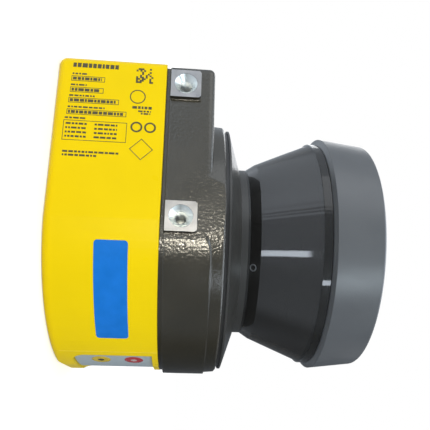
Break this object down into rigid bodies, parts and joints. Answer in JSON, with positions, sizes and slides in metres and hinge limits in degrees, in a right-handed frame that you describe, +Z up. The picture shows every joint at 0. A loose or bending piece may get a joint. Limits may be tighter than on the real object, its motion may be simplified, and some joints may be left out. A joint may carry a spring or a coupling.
{
  "type": "safety laser scanner",
  "caption": "Compact safety laser scanner: D-shaped base, dark cast housing with side mounting pads, waisted window cone and round cap over a spinning scan mirror.",
  "frame": {"origin": "on the flat underside, below the scan axis", "axes": "+Z up along the scan axis towards the head cap, -Y towards the round front with the display panel, +Y towards the flat rear with the connectors"},
  "size_m": [0.102, 0.105, 0.116],
  "materials": {
    "yellow_paint": "satin",
    "dark_paint": "fine textured, satin",
    "window_black": "glossy",
    "cap_grey": "matte",
    "panel_print": "satin",
    "clear_plastic": "clear",
    "circuit_board": "satin",
    "spacer_brass": "satin",
    "screw_steel": "satin",
    "connector_metal": "satin",
    "connector_insert": "matte",
    "seal_rubber": "matte",
    "cast_aluminium": "cast",
    "black_plastic": "matte",
    "lens_glass": "polished",
    "laser_brass": "satin",
    "bearing_steel": "polished",
    "stator_iron": "laminated",
    "rotor_steel": "satin",
    "mirror_coating": "polished",
    "target_white": "matte"
  },
  "bodies": {
    "housing": {"base_housing": "yellow_paint", "display_panel": "panel_print", "light_guide": "clear_plastic", "display_board": "circuit_board", "main_board": "circuit_board", "upper_board": "circuit_board", "board_spacers": "spacer_brass", "board_screws": "screw_steel", "connector_seals": "seal_rubber", "connector_nuts": "connector_metal", "system_connector": "connector_metal", "config_connector": "connector_metal", "system_connector_insert": "connector_insert", "config_connector_insert": "connector_insert", "middle_housing": "dark_paint", "housing_gasket": "seal_rubber", "housing_screws": "screw_steel", "optics_frame": "cast_aluminium", "frame_screws": "screw_steel", "receiver_tube": "black_plastic", "receiver_lens": "lens_glass", "lens_ring": "black_plastic", "laser_module": "laser_brass", "receiver_board": "circuit_board", "receiver_diode": "connector_metal", "window_monitor_board": "circuit_board", "optics_cover": "window_black", "cover_seal": "seal_rubber", "head_cap": "cap_grey", "cap_seal": "seal_rubber", "cap_screws": "screw_steel", "motor_bearings": "bearing_steel", "motor_stator": "stator_iron", "motor_board": "circuit_board", "encoder_sensor": "black_plastic", "reference_target": "target_white"},
    "rotor": {"motor_rotor": "rotor_steel", "encoder_disc": "black_plastic", "mirror_carrier": "cast_aluminium", "scan_mirror": "mirror_coating"}
  },
  "joints": [
    {"name": "mirror_spin", "type": "hinge", "parent": "housing", "child": "rotor", "pos_m": [0, 0, 0.1], "axis": [0, 0, 1], "continuous": true}
  ]
}
